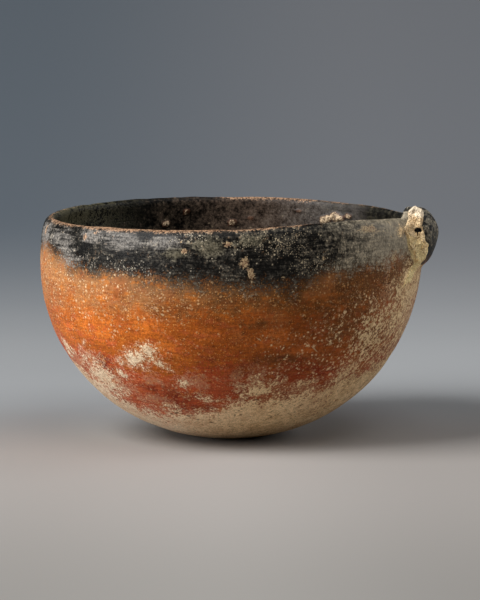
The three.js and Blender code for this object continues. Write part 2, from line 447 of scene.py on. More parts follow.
def bowl_wall():
    outline, crest_index = wall_outline()
    steps = np.hypot(*np.diff(outline, axis=0).T)
    along = np.concatenate([[0], np.cumsum(steps)])
    places = ring_places(along[-1] - LAST_STEP, along[crest_index])
    ring = np.stack([np.interp(places, along, outline[:, k]) for k in (0, 1)], 1)
    tangent = np.gradient(ring, places, axis=0)
    tangent /= np.hypot(*tangent.T)[:, None]
    normal = np.stack([tangent[:, 1], -tangent[:, 0]], 1)
    angles = np.linspace(0, 2 * pi, MERIDIANS, endpoint=False)
    turn = np.stack([np.cos(angles), np.sin(angles)], 1)

    def revolve(profile):
        flat = profile[:, None, :1] * turn[None]
        return np.concatenate([flat, np.repeat(profile[:, None, 1:], MERIDIANS, 1)], 2)

    points = revolve(ring)
    from_crest = np.repeat((places - along[crest_index])[:, None], MERIDIANS, 1)
    inside = from_crest > 0
    lumps = np.where(inside, lump_share(points), 0)
    fields = painted_zones(points)
    film = FILM_THICKNESS * ramp(fields["lime"], -0.1, 0.3)
    relief = wall_relief(points, inside) + lumps + lip_wear(points, from_crest)
    relief += np.where(inside, 0, film * ramp(points[..., 2], *ABOVE_FOOT) - pit_depth(points))
    points = points + revolve(normal) * relief[..., None]
    points[..., 2] = np.maximum(points[..., 2], 0)
    middle = [[0, 0, 0], [0, 0, BASE]]
    vertices = shaped_by_hand(np.concatenate([points.reshape(-1, 3), middle]))
    corner = np.arange(len(vertices) - 2).reshape(-1, MERIDIANS)
    beside = np.roll(corner, -1, 1)
    faces = np.stack([corner[:-1], beside[:-1], beside[1:], corner[1:]], -1).reshape(-1, 4).tolist()
    foot, floor = corner.size, corner.size + 1
    faces += [(foot, k, j) for j, k in zip(corner[0].tolist(), beside[0].tolist())]
    faces += [(floor, j, k) for j, k in zip(corner[-1].tolist(), beside[-1].tolist())]
    fields.update(inside=inside, from_crest=from_crest, lumps=lumps)
    fields = {label: np.append(values, (values[0, 0], values[-1, 0]))
              for label, values in fields.items()}
    return mesh_object("bowl_wall", vertices, faces, fields)


# Lug, luting and crust: surfaces where a field in space crosses zero

CORNERS = np.array([(i, j, k) for i in (0, 1) for j in (0, 1) for k in (0, 1)])
EDGES = [(a, b) for a in range(8) for b in range(a + 1, 8)
         if np.abs(CORNERS[a] - CORNERS[b]).sum() == 1]
SKIP = 4
NEAR_ZERO = 1.3
OUTSIDE = 0.01


def lattice(low, counts, step):
    return low + step * np.moveaxis(np.indices(counts), 0, -1)


def field_on_grid(low, counts, step, field_at):
    """field_at on a grid: exact near zero, and interpolated from a coarse grid elsewhere."""
    grid = lattice(low, counts, step)
    field = field_at(lattice(low, [count // SKIP + 2 for count in counts], SKIP * step))
    for axis, count in enumerate(counts):
        at = np.arange(count) / SKIP
        below = at.astype(int)
        share = (at - below).reshape([-1 if k == axis else 1 for k in range(3)])
        field = field.take(below, axis) * (1 - share) + field.take(below + 1, axis) * share
    near = np.abs(field) < NEAR_ZERO
    field[near] = field_at(grid[near])
    return field


def zero_surface(low, high, step, field_at):
    """A closed mesh where field_at(points) is zero: one point in each crossed cell of a grid."""
    counts = [int((h - l) / step) + 1 for l, h in zip(low, high)]
    field = field_on_grid(low, counts, step, field_at)
    core = (slice(1, -1),) * 3
    closed = np.maximum(field, OUTSIDE)
    closed[core] = field[core]
    field = closed
    windows = [tuple(slice(o, o + n - 1) for o, n in zip(corner, counts)) for corner in CORNERS]
    values = np.stack([field[window] for window in windows])
    filled = (values < 0).sum(0)
    crossed = (filled > 0) & (filled < 8)
    index = np.full(crossed.shape, -1)
    index[crossed] = np.arange(crossed.sum())
    total = np.zeros((crossed.sum(), 3))
    hits = np.zeros(crossed.sum())
    for a, b in EDGES:
        start, end = values[a][crossed], values[b][crossed]
        cut = (start < 0) != (end < 0)
        share = np.where(cut, start / np.where(cut, start - end, 1), 0)[:, None]
        total += np.where(cut[:, None], CORNERS[a] + share * (CORNERS[b] - CORNERS[a]), 0)
        hits += cut
    vertices = np.array(low) + step * (np.argwhere(crossed) + total / hits[:, None])
    faces = []
    inside = field < 0
    for axis in range(3):
        others = [k for k in range(3) if k != axis]
        first, second = list(core), list(core)
        first[axis], second[axis] = slice(0, -1), slice(1, None)
        before, after = inside[tuple(first)], inside[tuple(second)]
        place = np.argwhere(before != after)
        place[:, others] += 1
        outward = before[before != after]
        ring = []
        for shift in ((0, 0), (-1, 0), (-1, -1), (0, -1)):
            cell = place.copy()
            cell[:, others] += shift
            ring.append(index[tuple(cell.T)])
        quads = np.stack(ring, 1)
        turned = outward if axis == 1 else ~outward
        quads[turned] = quads[turned][:, ::-1]
        faces.append(quads)
    return vertices, np.concatenate(faces).tolist()


def outline_distance():
    """A function that gives the distance of points from the wall's outline, negative in the clay."""
    outline, _ = wall_outline()
    reach, step = ((56, 88), (36, 98)), 0.2
    across = np.arange(*reach[0], step)
    upward = np.arange(*reach[1], step)
    grid = np.stack(np.meshgrid(across, upward, indexing="ij"), -1)
    thinned = outline[::3]
    nearest = np.full(grid.shape[:2], np.inf)
    crossings = np.zeros(grid.shape[:2], int)
    for start, end in zip(thinned, np.roll(thinned, -1, 0)):
        run = end - start
        share = np.clip(((grid - start) @ run) / max(run @ run, 1e-9), 0, 1)
        nearest = np.minimum(nearest, np.hypot(*np.moveaxis(grid - start - share[..., None] * run, -1, 0)))
        spans = (start[1] > grid[..., 1]) != (end[1] > grid[..., 1])
        rise = end[1] - start[1] if end[1] != start[1] else 1e-9
        meets = start[0] + (grid[..., 1] - start[1]) / rise * run[0]
        crossings += spans & (grid[..., 0] < meets)
    signed = np.where(crossings % 2, -nearest, nearest)

    def distance(points):
        u = np.clip((np.hypot(points[..., 0], points[..., 1]) - across[0]) / step, 0, len(across) - 1.001)
        v = np.clip((points[..., 2] - upward[0]) / step, 0, len(upward) - 1.001)
        i, j = u.astype(int), v.astype(int)
        p, q = u - i, v - j
        low = signed[i, j] * (1 - p) + signed[i + 1, j] * p
        high = signed[i, j + 1] * (1 - p) + signed[i + 1, j + 1] * p
        return low * (1 - q) + high * q

    return distance


distance_from_outline = outline_distance()


def wall_field(points):
    return distance_from_outline(points) - wall_relief(points)


LUG_WAVES = (0.35, 6)
LUG_GRAIN = (0.16, 2.2, 2)
BORE_WANDER = (0.4, 9)
BORE_DIP = (0.3, 9)
BORE_RIPPLES = (0.12, 1.6)
FILLET_REACH = 3.4
FILLET_WAVES = (1.1, 8)
THINNEST_FILLET = 0.05

# How deep a piece reaches into the one it sits on
BURIED = 0.5


def from_lip(points):
    """Reach outward from the crest of the lip, place along the tangent, and height above it."""
    return points[..., 0] - CREST_RADIUS, points[..., 1], points[..., 2] - RIM_HEIGHT


def lug_field(points):
    """The lug before it is seated: a thick disc with round edges, drawn out to its own reaches."""
    x, y, z = from_lip(points)
    x, z = x - LUG_CROWN, z + LUG_BELLY_DROP
    across = x / np.where(x > 0, LUG_REACH - LUG_CROWN, LUG_OVERHANG + LUG_CROWN + 1)
    upward = z / np.where(z > 0, LUG_RISE + LUG_BELLY_DROP, LUG_DROP - LUG_BELLY_DROP)
    ratio = np.hypot(across, upward)
    from_edge = (ratio - 1) * np.hypot(x, z) / np.maximum(ratio, 1e-6)
    from_side = np.abs(y + 0.02 * z) - LUG_WIDTH / 2 + 0.06 * np.maximum(x, 0)
    u, v = from_edge + LUG_EDGE, from_side + LUG_EDGE
    rounded = np.minimum(np.maximum(u, v), 0) + np.hypot(np.maximum(u, 0), np.maximum(v, 0)) - LUG_EDGE
    return rounded - lug_noise.waves(points, *LUG_WAVES) - lug_noise.waves(points, *LUG_GRAIN)


def bore_field(points):
    x, _, z = from_lip(points)
    x = x - BORE_REACH + lug_noise.waves(points, *BORE_WANDER)
    z = z + BORE_DROP + lug_noise.waves(points + 40, *BORE_DIP)
    return np.hypot(x, z) - BORE_RADIUS - lug_noise.waves(points, *BORE_RIPPLES)


def blended(a, b, reach):
    share = np.clip(0.5 + 0.5 * (b - a) / reach, 0, 1)
    return b * (1 - share) + a * share - reach * share * (1 - share)


def seat(points):
    """The wall, the lug, both as one skin with a hollow fillet that ends at the crest of the lip,
    and the wall as if the bowl were full to its crest, so that no piece hangs inside it."""
    wall, lug = wall_field(points), lug_field(points)
    nearest = np.minimum(wall, lug)
    from_axis = np.hypot(points[..., 0], points[..., 1])
    outside = ramp(from_axis, CREST_RADIUS - 1, CREST_RADIUS + 1.5)
    fillet = blended(wall, lug, FILLET_REACH + lug_noise.waves(points + 90, *FILLET_WAVES))
    skin = nearest + (fillet - nearest) * outside
    full = np.where(from_axis < CREST_RADIUS, np.minimum(wall, points[..., 2] - RIM_HEIGHT), wall)
    return nearest, lug, skin, full


def seated_lug(points):
    _, lug, _, full = seat(points)
    return np.maximum.reduce([lug, -full - BURIED, -bore_field(points)])


def seated_luting(points):
    nearest, lug, skin, full = seat(points)
    hollow = THINNEST_FILLET - (nearest - skin)
    return np.maximum.reduce([skin, -full - BURIED, -lug - BURIED, hollow, -bore_field(points)])


# Crust: the eye that it leaves of the string hole, and its borders on the wall and on the lug.
# Heights here are measured from the crest of the lip, and reaches outward from it.
EYE_REACH = 5.5
EYE_DROP = 4.2
EYE_HALF = (1.5, 0.85)
NOTCH_HALF = (0.3, 1.1)
CRUST_BORDER_ON_WALL = (
    (-27, -14.2), (-22, -12.2), (-18.5, -9.4), (-16, -8.2), (-12.4, -10.2), (-9.4, -12), (-6.1, -13),
    (-4.8, -14.4), (-3, -14.6), (-1.8, -11.6), (-0.6, -10.4), (6, -9.6),
)
CREASE = ((1.4, -5.4), (2.6, -8.6), (4.2, -11.6))
CREASE_HALF = 0.4
CREASE_TOP = (-6.2, -5.0)
CREASE_DEPTH = 0.6
CRUST_THICKNESS = 0.7
CRUST_WAVES = (0.3, 4)
CRUST_GRAIN = (0.26, 1.3, 2)
LEDGE_THICKNESS = 0.5
CRUST_BORDER_ON_LUG = (
    (-26, 12), (-18, 10.6), (-13, 9), (-8, 8.5), (-4, 7.5), (0, 7.4), (4, 7),
)


def eye_field(points):
    """The ragged eye that the crust leaves of the string hole, with a small notch below it."""
    ragged = crust_noise.waves(points, 0.28, 0.9, 2)
    x, _, z = from_lip(points)
    x, z = x - EYE_REACH, z + EYE_DROP
    eye = np.hypot(x / EYE_HALF[0], z / EYE_HALF[1]) - 1 + ragged
    notch = np.hypot((x - 0.1) / NOTCH_HALF[0], (z + 1.1) / NOTCH_HALF[1]) - 1 + ragged
    return np.minimum(eye, notch) * EYE_HALF[1]


def crust_cover(points):
    """Where the crust lies: 1 well inside its patch, 0 outside it."""
    x, y, height = from_lip(points)
    ragged = crust_noise.waves(points, 1, 3, 3)
    other = crust_noise.waves(points + 9, 1, 3.4, 3)
    on_wall = y - np.interp(height, *zip(*CRUST_BORDER_ON_WALL)) + 0.8 * other
    on_lug = np.interp(height, *zip(*CRUST_BORDER_ON_LUG)) - x + 0.7 * ragged
    on_near_side = -y - 5.4 + 0.7 * other
    inner_side = x - 1.5 + 2.5 * np.maximum(0, -3.2 - height) + 0.4 * ragged
    chipped_corner = 0.9 * x - height + 1.6 + 0.5 * ragged
    lower_end = height + 23.5 + 2.2 * other
    over = np.minimum.reduce([on_wall, on_lug, on_near_side, inner_side, chipped_corner, lower_end])
    return ramp(over, -0.55, 0.75)


def crease_share(points):
    """1 in the crease that runs down the crust from its left border, 0 beside it."""
    x, _, height = from_lip(points)
    x = x + crust_noise.waves(points, 0.2, 1.5)
    reaches, heights = zip(*CREASE)
    line = np.interp(height, heights[::-1], reaches[::-1])
    ends = ramp(height, heights[-1] - 0.8, heights[-1] + 0.8)
    ends = ends * (1 - ramp(height, *CREASE_TOP))
    return ends * (1 - ramp(np.abs(x - line), 0.3 * CREASE_HALF, CREASE_HALF))


def seated_crust(points):
    _, _, skin, full = seat(points)
    x, _, height = from_lip(points)
    cover = crust_cover(points)
    thick = CRUST_THICKNESS + crust_noise.waves(points, *CRUST_WAVES)
    thick = thick + crust_noise.waves(points, *CRUST_GRAIN) - 0.4 * ramp(-height, 12, 24)
    ledge = ramp(height, 1.6, 3.4) * ramp(x, 2.0, 3.5)
    thick = thick + LEDGE_THICKNESS * ledge * (0.7 + crust_noise.at(points, 1.2))
    offset = (thick - CREASE_DEPTH * crease_share(points)) * cover - 0.6 * (1 - cover)
    return np.maximum.reduce([skin - offset, -skin - BURIED, -full - BURIED, -eye_field(points)])


# Materials

def linear(*channels):
    """A colour as it is seen on a screen, 0 to 255 a channel, as the linear colour of a shader."""
    return tuple(((c / 255 + 0.055) / 1.055) ** 2.4 if c > 10 else c / 3294.6 for c in channels) + (1,)


def plug(tree, item, slot):
    item = getattr(item, "socket", item)
    if isinstance(item, bpy.types.NodeSocket):
        tree.links.new(item, slot)
    else:
        slot.default_value = item


def add_node(tree, kind, inputs, **settings):
    """A shader node, fed by numbers, colours, values and the sockets of other nodes."""
    node = tree.nodes.new("ShaderNode" + kind)
    for name, setting in settings.items():
        setattr(node, name, setting)
    for key, item in inputs.items():
        plug(tree, item, node.inputs[key])
    return node


class Value:
    """A number that varies over a surface. Arithmetic on it adds shader nodes."""

    def __init__(self, tree, socket):
        self.tree, self.socket = tree, socket

    def apply(self, operation, *others):
        node = add_node(self.tree, "Math", dict(enumerate((self, *others))), operation=operation)
        return Value(self.tree, node.outputs[0])

    __add__ = __radd__ = partialmethod(apply, "ADD")
    __sub__ = partialmethod(apply, "SUBTRACT")
    __mul__ = partialmethod(apply, "MULTIPLY")
    __or__ = partialmethod(apply, "MAXIMUM")

    def __rsub__(self, other):
        return self * -1 + other

    def rising(self, low, high):
        """The same soft step as ramp."""
        inputs = {"Value": self, "From Min": low, "From Max": high}
        node = add_node(self.tree, "MapRange", inputs, interpolation_type="SMOOTHSTEP")
        return Value(self.tree, node.outputs["Result"])

    def falling(self, low, high):
        return 1 - self.rising(low, high)


class Surface:
    """One material under construction, with places and sizes in millimetres."""

    def __init__(self, name):
        self.material = bpy.data.materials.new(name)
        self.material.use_nodes = True
        self.tree = self.material.node_tree
        self.place = self.times(self.node("TexCoord").outputs["Object"], 1 / MM)
        self.x, self.y, self.z = self._values(self.node("SeparateXYZ", {0: self.place}))

    def node(self, kind, inputs={}, **settings):
        return add_node(self.tree, kind, inputs, **settings)

    def _values(self, node):
        return [Value(self.tree, out) for out in node.outputs]

    def _vector(self, operation, first, second):
        node = self.node("VectorMath", {0: first, 1: second}, operation=operation)
        return node.outputs["Value" if operation == "DOT_PRODUCT" else "Vector"]

    def times(self, vector, factor):
        """A vector times a factor, or a colour made darker or lighter by it."""
        node = self.node("VectorMath", {0: vector, "Scale": factor}, operation="SCALE")
        return node.outputs["Vector"]

    def field(self, name):
        """A field that rides on the mesh points."""
        return Value(self.tree, self.node("Attribute", attribute_name=name).outputs["Fac"])

    def _scaled(self, size, seed, stretch=(1, 1, 1), place=None):
        scale = tuple(1 / (size * s) for s in stretch)
        moved = self._vector("MULTIPLY", place or self.place, scale)
        return self._vector("ADD", moved, (7.1 * seed, -3.7 * seed, 5.3 * seed))

    def grain(self, size, detail=2, stretch=(1, 1, 1), seed=0, rough=0.5, place=None):
        """Cloudy values, mostly between -1 and 1, with clouds about size across."""
        vector = self._scaled(size, seed, stretch, place)
        inputs = {"Scale": 1, "Detail": detail, "Roughness": rough, "Vector": vector}
        return (Value(self.tree, self.node("TexNoise", inputs).outputs["Fac"]) - 0.5) * 4

    def specks(self, size, share, seed):
        """Grains of uneven size and strength, about size apart, of which a share shows."""
        vector = self._scaled(size, seed)
        cells = self.node("TexVoronoi", {"Scale": 1, "Vector": vector})
        lot, bulk, _ = self._values(self.node("SeparateColor", {0: cells.outputs["Color"]}))
        ragged = self.grain(size * 0.45, 1, seed=seed + 0.5) * 0.14
        near = Value(self.tree, cells.outputs["Distance"]) + ragged - bulk * 0.22
        return near.falling(0.0, 0.28) * (share - lot).rising(0, 0.3)

    def slanted(self, degrees, length, width):
        """Coordinates on the wall for marks that run at a slant: length along it, width across."""
        turn = radians(degrees)
        arc = self.y.apply("ARCTAN2", self.x - LEAN * 0.7) * BOWL_RADIUS
        along = arc * cos(turn) + self.z * sin(turn)
        across = self.z * cos(turn) - arc * sin(turn)
        return self.node("CombineXYZ", {0: along * (1 / length), 1: across * (1 / width)}).outputs[0]

    def mark(self, degrees, height, half_width, half_height, tilt=0):
        """1 inside one small mark on the outside of the wall, 0 elsewhere. tilt is in degrees."""
        angle, lean = radians(degrees), radians(tilt)
        outward = Vector((cos(angle), sin(angle), 0))
        tangent = UP.cross(outward)
        drop = max(0.0, CENTRE - height) / BOWL_RADIUS
        radius = BOWL_RADIUS * (1 - drop ** FULLNESS) ** (1 / FULLNESS)
        offset = self._vector("SUBTRACT", self.place, tuple(shaped_by_hand(outward * radius + UP * height)))
        squares = 0
        for axis, half in ((tangent * cos(lean) + UP * sin(lean), half_width),
                           (UP * cos(lean) - tangent * sin(lean), half_height),
                           (outward, WALL)):
            part = Value(self.tree, self._vector("DOT_PRODUCT", offset, tuple(axis / half)))
            squares = part * part + squares
        return squares.apply("SQRT").falling(0.5, 1)

    def mix(self, share, under, over):
        """over where share is 1, under where it is 0."""
        under, over = (linear(*item) if isinstance(item, tuple) else item for item in (under, over))
        return self.node("Mix", {"Factor": share, 6: under, 7: over}, data_type="RGBA").outputs[2]

    def layers(self, colour, *coats):
        """A colour under some coats, each given as its share and its own colour."""
        for share, over in coats:
            colour = self.mix(share, colour, over)
        return colour

    def finish(self, colour, roughness, height, specular):
        """height is the fine relief in millimetres."""
        bump = self.node("Bump", {"Distance": MM, "Height": height})
        shader = self.tree.nodes["Principled BSDF"]
        for name, item in (("Normal", bump.outputs[0]), ("Base Color", colour),
                           ("Roughness", roughness), ("Specular IOR Level", specular)):
            plug(self.tree, item, shader.inputs[name])
        return self.material


def lime_colour(s, torn, dots, umber_and_shade):
    """Cream lime with brown stains, dark pores and a gritty face, duller where the clay turns brown and
    where painted shade falls towards the lug.
    """
    stains = s.grain(1.9, 3, seed=32, rough=0.65)
    pores = s.specks(1.3, torn * 0.3 + umber_and_shade * 0.2 + 0.16, seed=33)
    pores = pores | s.specks(0.7, stains * 0.3 + 0.3, seed=34) * 0.7
    pale = s.layers(
        s.mix(umber_and_shade, (230, 198, 164), (206, 172, 126)),
        (torn.rising(-0.35, 0.35), s.mix(umber_and_shade, (246, 226, 196), (236, 206, 160))),
        (stains.rising(0.2, 0.7) * (0.25 + umber_and_shade * 0.35), (160, 122, 82)),
        (pores * 0.7, (96, 70, 44)),
    )
    return s.times(pale, 1 + dots * 0.3)


# Pale scratches, as marks: degrees, height, half length, half width, tilt
SCRATCHES = (
    (-25, 56.8, 3.6, 0.22, -42), (-45, 39.9, 2.8, 0.25, -38), (-19, 83.2, 1.6, 0.2, -50),
    (-19.4, 78.4, 1, 0.22, -50), (-33, 81.6, 2.6, 0.16, 12), (-93, 53.6, 0.9, 0.5, -20),
    (-64, 44.6, 1.6, 0.18, -35), (-137, 59, 1.2, 0.2, -60), (-16, 79, 0.5, 0.2, -60),
)
# Dark pits in the lime of the base, given the same way
LIME_PITS = (
    (-97.5, 14.2, 1.3, 0.5, 12), (-92, 13.2, 1, 0.5), (-100.5, 13.6, 0.7, 0.4), (-82, 10.4, 1.2, 0.5),
    (-130, 17, 1.2, 0.35, -12), (-124.5, 16.6, 0.9, 0.35), (-62, 20.6, 1.5, 0.4), (-88, 11.6, 0.5, 0.4),
    (-52, 12.5, 0.6, 0.5), (-70, 14, 0.5, 0.5), (-40, 17, 0.9, 0.4, 30), (-110, 9, 0.5, 0.4),
    (60, 12, 1.2, 0.5), (120, 14, 1, 0.5, 20), (170, 18, 1.3, 0.5, -10),
)


def ware():
    """Burnished slip: orange to red below, smoke-black above and inside, with lime on the base."""
    s = Surface("burnished_ware")
    cloud = s.grain(10, 3, seed=1)
    mottle = s.grain(3.2, 3, seed=2, rough=0.6)
    grit = s.grain(1.1, 2, seed=3, rough=0.7)
    dots = s.grain(0.6, 1, seed=5, rough=0.6)
    streak = s.grain(9, 4, stretch=(1, 1, 0.09), seed=4, rough=0.65)
    torn = cloud * 0.35 + mottle * 0.5 + grit * 0.4
    # Duller brown towards the lug: partly the clay's own colour and partly painted shade away from the key
    # lamp; each colour below has a fresh copy and a duller, shaded copy
    umber_and_shade = s.field("umber_and_shade") + torn * 0.25
    inside, from_crest = s.field("inside"), s.field("from_crest")

    def with_umber_and_shade(fresh, dull):
        return s.mix(umber_and_shade, fresh, dull)

    # Slip: tan under the band, orange in the middle, red below, all duller towards the lug, partly as
    # painted shade
    over_red = s.field("red") + torn * 10
    deep = (s.field("deep") + torn * 1.2).rising(-0.1, 0.6) * over_red.rising(0, 4)
    over_edge = s.field("smoke") + cloud * 2 + mottle * 1.4 + grit * 2 + dots * 2.2 + streak * 1.5
    drift = s.grain(9, 3, seed=21, place=s.slanted(24, 1.8, 1.5), rough=0.6)
    wash = s.grain(6, 3, seed=22, stretch=(1, 1, 0.5), rough=0.6)
    washed = wash.rising(0.05, 0.7) * (0.15 + s.z.falling(46, 58) * 0.5)
    slip = s.layers(
        with_umber_and_shade((184, 96, 32), (136, 66, 14)),
        ((s.z + torn * 12).rising(49, 60), with_umber_and_shade((178, 120, 72), (100, 56, 14))),
        ((s.field("bright") + torn).rising(-0.1, 0.7) * 0.75, with_umber_and_shade((222, 120, 44), (190, 98, 34))),
        ((s.field("dark") + torn).rising(-0.1, 0.8) * 0.7, with_umber_and_shade((150, 82, 34), (88, 52, 18))),
        (mottle.rising(0.05, 0.6) * 0.45, with_umber_and_shade((160, 78, 26), (104, 48, 10))),
        (over_red.rising(-3, 3), with_umber_and_shade((188, 84, 46), (138, 52, 12))),
        (deep * 0.85, (122, 36, 4)),
        (over_edge.rising(-9, -1) * 0.6, with_umber_and_shade((150, 110, 74), (78, 52, 24))),
        (drift.rising(0.1, 0.8) * umber_and_shade * 0.35, (176, 108, 60)),
        (drift.falling(-0.8, -0.1) * 0.45, with_umber_and_shade((158, 78, 28), (80, 40, 10))),
        (washed, with_umber_and_shade((198, 94, 52), (146, 70, 34))),
        (wash.falling(-0.8, -0.1) * 0.55, with_umber_and_shade((216, 122, 34), (150, 80, 24))),
    )
    slip = s.times(slip, 1.03 + grit * 0.26 + dots * 0.22 + streak * 0.3)

    # A pinkish veil of thin lime over the red, and pale and dark grains all over
    veil = s.field("haze") + torn * 1.6 + dots * 0.4
    upper = s.z.rising(40, 62)
    pale = s.specks(1.3, upper * 0.3 + mottle * 0.4 + 0.17, seed=71)
    pale = pale | s.specks(0.75, upper * 0.4 + mottle * 0.5 + cloud * 0.2 + 0.12, seed=72) * 0.8
    gold = s.specks(0.7, mottle * 0.35 + cloud * 0.2 + 0.55, seed=79)
    burnt = s.specks(0.9, mottle * 0.6 + cloud * 0.3 + 0.1, seed=73)
    slip = s.layers(
        slip,
        (veil.rising(0, 1) * 0.6, with_umber_and_shade((204, 144, 112), (164, 114, 80))),
        (pale * (0.8 - umber_and_shade * 0.25), with_umber_and_shade((246, 216, 174), (200, 152, 96))),
        (gold * 0.6, with_umber_and_shade((248, 182, 108), (196, 132, 68))),
        (burnt * 0.45, with_umber_and_shade((96, 48, 18), (48, 22, 6))),
    )

    # Smoke-black band, its silvery stretches partly a painted sheen of the burnish, and the dust on it
    # Silvery grey in the band: partly grey on the clay and partly a painted sheen of the burnish
    grey_and_sheen = (s.field("grey_and_sheen") + torn * 0.35 + streak * 0.5).rising(-0.2, 0.9)
    ashy = (s.field("ashy") + torn * 0.35 + streak * 0.15).rising(0, 1)
    olive = (s.field("olive") + torn * 0.8 + streak * 0.3).rising(-0.1, 0.8)
    smoke = s.layers(
        (12, 11, 9),
        ((torn + streak * 0.6).rising(-0.35, 0.6), (50, 47, 42)),
        (grey_and_sheen * 0.85, (120, 115, 109)),
        (ashy * 0.85, s.mix(torn.rising(-0.5, 0.5), (132, 122, 104), (166, 154, 132))),
        (olive * 0.35, (130, 122, 100)),
    )
    rugged = 1 - s.field("ashy").rising(0.2, 0.9) * 0.7
    smoke = s.times(smoke, 1 + (grit * 0.7 + dots * 0.6) * rugged + streak * 0.2)
    dusty = s.field("dust").rising(-0.4, 0.9) * rugged
    dust = s.specks(0.95, dusty * 0.4 + mottle * 0.5 + 0.04, seed=74)
    dust = dust | s.specks(0.6, dusty * 0.9 + mottle * 0.5 + cloud * 0.2 + 0.04, seed=75) * 0.8
    smoke = s.mix(dust * 0.8, smoke, with_umber_and_shade((196, 188, 176), (204, 186, 154)))

    # Chips in the band, flecks of lime towards the lug, scratches, and the film of lime on the base
    chips = (s.field("chips") + torn * 0.9 + dots * 0.3).rising(-0.1, 0.4)
    chip = s.mix(dots.rising(-0.4, 0.4), (140, 106, 80), with_umber_and_shade((212, 172, 138), (186, 164, 124)))
    flecks = s.grain(1, 3, seed=13, place=s.slanted(48, 2.5, 1.9), rough=0.78) + grit * 0.3 + dots * 0.3
    over_fleck = flecks - 1.05 + s.field("flecks") * 1.2 + cloud * 0.25
    fleck = s.mix(grit.rising(-0.4, 0.4), (198, 164, 116), (242, 212, 164))
    sprinkle = s.field("flecks") * 0.9 + mottle * 0.15 + s.z.falling(24, 50) * umber_and_shade * 0.12
    grains = s.specks(2.1, sprinkle, seed=77) | s.specks(1.3, sprinkle, seed=78)
    cover = s.field("lime") + torn * 0.95 + grit * 0.3 + dots * 0.45
    film = (cover.rising(-0.1, 0.2) * 0.92 | cover.rising(-0.9, 0.4) * 0.5) * (1 - inside)
    body = s.layers(
        slip,
        (over_edge.rising(-4, 3), smoke),
        (chips * 0.7, chip),
        (over_fleck.rising(-0.6, 0.2) * 0.35, (166, 128, 92)),
        (over_fleck.rising(0, 0.2) * 0.85, fleck),
        (grains * 0.8, (234, 202, 156)),
        *((s.mark(*scratch) * 0.7, (200, 172, 132)) for scratch in SCRATCHES),
        (film, lime_colour(s, torn, dots, umber_and_shade)),
        *((s.mark(*pit) * 0.75, (84, 60, 38)) for pit in LIME_PITS),
    )

    # Inside: soot, a brown-grey bloom towards the lug that fades to painted shade nearest the lug, and
    # lumps of lime with rusty edges
    # The brown-grey fades out again nearest the lug, where its black end is painted shade
    bloom = (s.x + torn * 30).rising(-54, -6) * (s.x + torn * 16 + cloud * 9).falling(18, 48)
    haze = (s.x + torn * 12).falling(-64, -48)
    soot = s.layers(
        (9, 8, 6),
        ((torn + streak * 0.3).rising(-0.2, 0.5), (40, 37, 29)),
        (bloom * 0.75, s.mix((s.x + torn * 16).rising(-10, 26), (76, 62, 52), (86, 80, 75))),
    )
    lumps = s.field("lumps") * (1 + torn * 0.8 + dots * 0.3)
    soot = s.layers(
        s.times(soot, 1 + mottle * 0.5 + grit * 0.6 + dots * 0.4),
        (haze * (torn + dots * 0.6).rising(-0.5, 0.5), (92, 88, 68)),
        (s.specks(1.2, cloud * 0.25 + mottle * 0.2 + 0.14, seed=76) * 0.6, (136, 120, 98)),
        (lumps.rising(0.05, 0.35) * 0.4, (104, 66, 46)),
        (lumps.rising(0.35, 0.8) * 0.9,
         s.mix((mottle + dots + grit * 0.5).rising(-0.5, 0.6), (112, 94, 74), (214, 188, 154))),
    )

    # Worn lip
    worn = s.field("worn") - from_crest.apply("ABSOLUTE") * 0.42 + torn * 0.5 + dots * 0.4
    clay = s.mix((grit + dots).rising(-0.7, 0.7), (100, 72, 52), (182, 144, 112))
    body = s.layers(body, (inside, soot), (worn.rising(-0.1, 0.6) * 0.85, clay))

    roughness = 0.46 + mottle * 0.1 + grit * 0.08 + film * 0.4 - grey_and_sheen * 0.12
    relief = streak * 0.03 + grit * 0.05 + dots * 0.02 + film * 0.12 + over_fleck.rising(0, 0.3) * 0.08
    return s.finish(body, roughness, relief, specular=0.13)


def smoked_ware():
    """The lug: smoked grey above, black below, and brown where it runs into the wall, with a dark top whose
    pale flecks are partly painted highlights.
    """
    s = Surface("smoked_ware")
    mottle = s.grain(2.4, 3, seed=41, rough=0.6)
    grit = s.grain(0.9, 2, seed=42, rough=0.7)
    dots = s.grain(0.5, 1, seed=44)
    grey = s.mix((mottle + grit * 0.5).rising(-0.4, 0.3), (34, 32, 28), (122, 114, 98))
    base = s.layers(
        (13, 12, 9),
        (mottle.rising(-0.2, 0.5), (46, 42, 32)),
        ((s.z + mottle * 5).rising(74, 83), grey),
        ((s.z + mottle * 4).falling(66, 71) * 0.8, (128, 80, 40)),
    )
    # A dark top on the lug with pale flecks, partly speckle and partly painted highlights along its ridge
    crown = (s.z + mottle * 2).rising(82, 86) * (s.x + mottle * 2).falling(72, 75)
    base = s.layers(
        s.times(base, 1 + grit * 0.8 + dots * 0.6),
        (s.specks(1, mottle * 0.2 + 0.3, seed=45) * 0.75, (184, 168, 140)),
        (s.specks(1.2, mottle * 0.2 + 0.12, seed=46) * 0.7, (150, 92, 52)),
        (crown * 0.8, s.mix((grit + mottle * 0.6).rising(0.2, 0.6), (20, 19, 16), (206, 198, 182))),
    )
    return s.finish(base, 0.6 + mottle * 0.12, mottle * 0.16 + grit * 0.14, specular=0.22)


